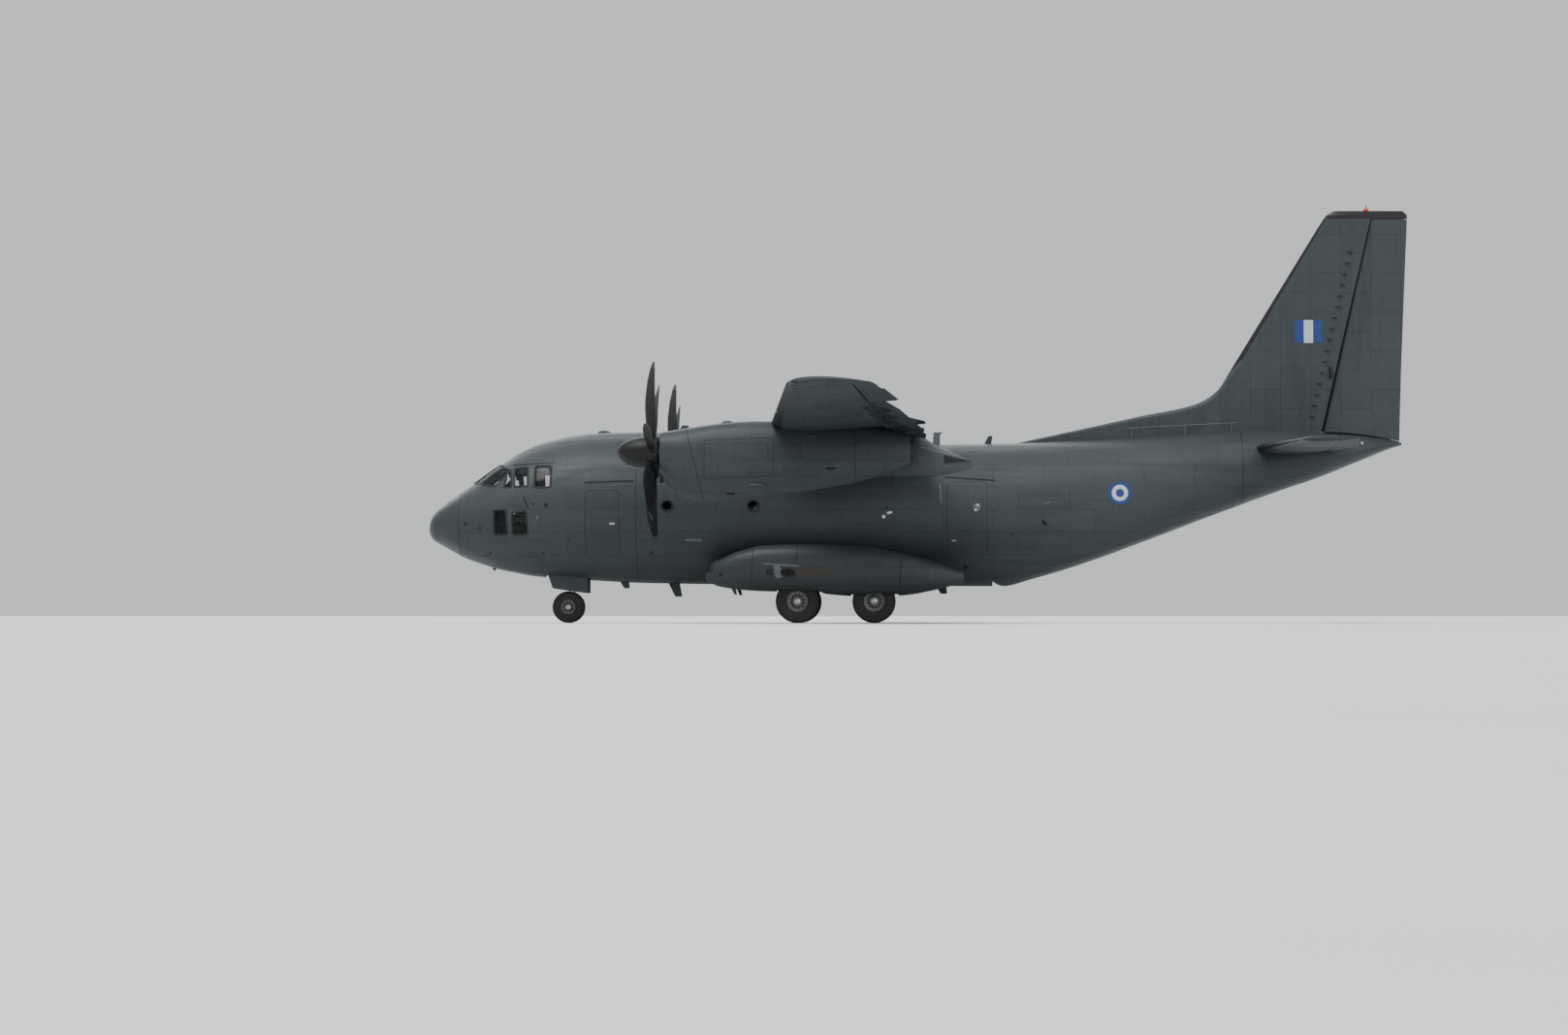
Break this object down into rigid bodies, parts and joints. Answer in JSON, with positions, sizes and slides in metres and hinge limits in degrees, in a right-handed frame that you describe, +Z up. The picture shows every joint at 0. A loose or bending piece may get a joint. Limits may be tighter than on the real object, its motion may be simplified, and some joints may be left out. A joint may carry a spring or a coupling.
{
  "type": "military transport plane",
  "caption": "Twin-engined high-wing military transport plane with a rear cargo ramp, parked with flaps part lowered.",
  "frame": {"origin": "On the ground under the middle of the aircraft's bounding box, in its plane of symmetry.", "axes": "+X aft along the fuselage, +Y to starboard along the wing, +Z up."},
  "size_m": [22.7, 28.7, 9.55],
  "materials": {
    "grey_paint": "matt",
    "dark_paint": "matt",
    "black_paint": "satin",
    "gear_steel": "satin",
    "tyre_rubber": "matt",
    "lining": "matt",
    "window_glass": "polished",
    "engine_iron": "rough"
  },
  "bodies": {
    "airframe": {"radome": "grey_paint", "forward_fuselage": "grey_paint", "centre_fuselage": "grey_paint", "rear_fuselage": "grey_paint", "wing_centre": "grey_paint", "tail_cone": "grey_paint", "tailplane": "grey_paint", "fin": "grey_paint", "cargo_floor": "lining", "flight_deck": "lining", "cockpit_glazing": "window_glass", "nose_strut": "gear_steel", "para_door_left": "grey_paint", "para_door_right": "grey_paint", "wing_left": "grey_paint", "wing_right": "grey_paint", "nacelle_left": "grey_paint", "nacelle_right": "grey_paint", "nose_gear_door_left": "grey_paint", "nose_gear_door_right": "grey_paint", "engine_left": "engine_iron", "engine_right": "engine_iron", "gear_pod_left": "dark_paint", "gear_pod_right": "dark_paint", "main_gear_left": "gear_steel", "main_gear_right": "gear_steel"},
    "flap_inner_left": {"flap_inner_left": "grey_paint"},
    "flap_outer_left": {"flap_outer_left": "grey_paint"},
    "aileron_left": {"aileron_left": "grey_paint"},
    "elevator_left": {"elevator_left": "grey_paint"},
    "propeller_left": {"propeller_left": "black_paint", "spinner_left": "black_paint"},
    "main_wheel_front_left": {"main_wheel_front_left": "gear_steel", "main_tyre_front_left": "tyre_rubber"},
    "main_wheel_rear_left": {"main_wheel_rear_left": "gear_steel", "main_tyre_rear_left": "tyre_rubber"},
    "flap_inner_right": {"flap_inner_right": "grey_paint"},
    "flap_outer_right": {"flap_outer_right": "grey_paint"},
    "aileron_right": {"aileron_right": "grey_paint"},
    "elevator_right": {"elevator_right": "grey_paint"},
    "propeller_right": {"propeller_right": "black_paint", "spinner_right": "black_paint"},
    "main_wheel_front_right": {"main_wheel_front_right": "gear_steel", "main_tyre_front_right": "tyre_rubber"},
    "main_wheel_rear_right": {"main_wheel_rear_right": "gear_steel", "main_tyre_rear_right": "tyre_rubber"},
    "rudder": {"rudder": "grey_paint"},
    "cargo_ramp": {"cargo_ramp": "grey_paint"},
    "cargo_door": {"cargo_door": "grey_paint"},
    "crew_door": {"crew_door": "grey_paint"},
    "nose_leg": {"nose_fork": "gear_steel"},
    "nose_wheel_pair": {"nose_wheels": "gear_steel", "nose_tyre_left": "tyre_rubber", "nose_tyre_right": "tyre_rubber"}
  },
  "joints": [
    {"name": "flap_inner_left_turn", "type": "hinge", "parent": "airframe", "child": "flap_inner_left", "pos_m": [-0.5671, -1.9, 4.2353], "axis": [0, 1, 0], "range_deg": [-18, 22]},
    {"name": "flap_outer_left_turn", "type": "hinge", "parent": "airframe", "child": "flap_outer_left", "pos_m": [-0.5982, -5.36, 4.2501], "axis": [0.0851, 0.9955, -0.041], "range_deg": [-18, 22]},
    {"name": "aileron_left_turn", "type": "hinge", "parent": "airframe", "child": "aileron_left", "pos_m": [-1.0078, -10.15, 4.6974], "axis": [0.0837, 0.9956, -0.0409], "range_deg": [-20, 15]},
    {"name": "elevator_left_turn", "type": "hinge", "parent": "airframe", "child": "elevator_left", "pos_m": [9.4338, -0.79, 4.02], "axis": [0.0368, 0.9993, 0], "range_deg": [-25, 15]},
    {"name": "propeller_left_spin", "type": "hinge", "parent": "airframe", "child": "propeller_left", "pos_m": [-5.905, -4.75, 3.792], "axis": [1, 0, 0], "continuous": true},
    {"name": "main_wheel_front_left_spin", "type": "hinge", "parent": "airframe", "child": "main_wheel_front_left", "pos_m": [-2.75, -1.835, 0.495], "axis": [0, 1, 0], "continuous": true},
    {"name": "main_wheel_rear_left_spin", "type": "hinge", "parent": "airframe", "child": "main_wheel_rear_left", "pos_m": [-1, -1.835, 0.495], "axis": [0, 1, 0], "continuous": true},
    {"name": "flap_inner_right_turn", "type": "hinge", "parent": "airframe", "child": "flap_inner_right", "pos_m": [-0.5671, 1.9, 4.2353], "axis": [0, 1, 0], "range_deg": [-18, 22]},
    {"name": "flap_outer_right_turn", "type": "hinge", "parent": "airframe", "child": "flap_outer_right", "pos_m": [-0.5982, 5.36, 4.2501], "axis": [-0.0851, 0.9955, 0.041], "range_deg": [-18, 22]},
    {"name": "aileron_right_turn", "type": "hinge", "parent": "airframe", "child": "aileron_right", "pos_m": [-1.0078, 10.15, 4.6974], "axis": [-0.0837, 0.9956, 0.0409], "range_deg": [-20, 15]},
    {"name": "elevator_right_turn", "type": "hinge", "parent": "airframe", "child": "elevator_right", "pos_m": [9.4338, 0.79, 4.02], "axis": [-0.0368, 0.9993, 0], "range_deg": [-25, 15]},
    {"name": "propeller_right_spin", "type": "hinge", "parent": "airframe", "child": "propeller_right", "pos_m": [-5.905, 4.75, 3.792], "axis": [1, 0, 0], "continuous": true},
    {"name": "main_wheel_front_right_spin", "type": "hinge", "parent": "airframe", "child": "main_wheel_front_right", "pos_m": [-2.75, 1.835, 0.495], "axis": [0, 1, 0], "continuous": true},
    {"name": "main_wheel_rear_right_spin", "type": "hinge", "parent": "airframe", "child": "main_wheel_rear_right", "pos_m": [-1, 1.835, 0.495], "axis": [0, 1, 0], "continuous": true},
    {"name": "rudder_turn", "type": "hinge", "parent": "airframe", "child": "rudder", "pos_m": [9.37, 0, 4.45], "axis": [0.228, 0, 0.9737], "range_deg": [-25, 25]},
    {"name": "cargo_ramp_hinge", "type": "hinge", "parent": "airframe", "child": "cargo_ramp", "pos_m": [2.01, 0, 1.19], "axis": [0, 1, 0], "range_deg": [0, 38]},
    {"name": "cargo_door_hinge", "type": "hinge", "parent": "airframe", "child": "cargo_door", "pos_m": [7.25, 0, 2.8], "axis": [0, 1, 0], "range_deg": [0, 35]},
    {"name": "crew_door_hinge", "type": "hinge", "parent": "airframe", "child": "crew_door", "pos_m": [-7.22, -1.36, 1.53], "axis": [1, 0, 0], "range_deg": [0, 118]},
    {"name": "nose_steer", "type": "hinge", "parent": "airframe", "child": "nose_leg", "pos_m": [-8.1, 0, 0.83], "axis": [0, 0, 1], "range_deg": [-50, 50]},
    {"name": "nose_wheel_spin", "type": "hinge", "parent": "nose_leg", "child": "nose_wheel_pair", "pos_m": [-8.1, 0, 0.368], "axis": [0, 1, 0], "continuous": true}
  ],
  "couplings": [
    {"joint": "flap_outer_left_turn", "follows": "flap_inner_left_turn", "ratio": 1},
    {"joint": "flap_outer_right_turn", "follows": "flap_inner_right_turn", "ratio": 1}
  ]
}
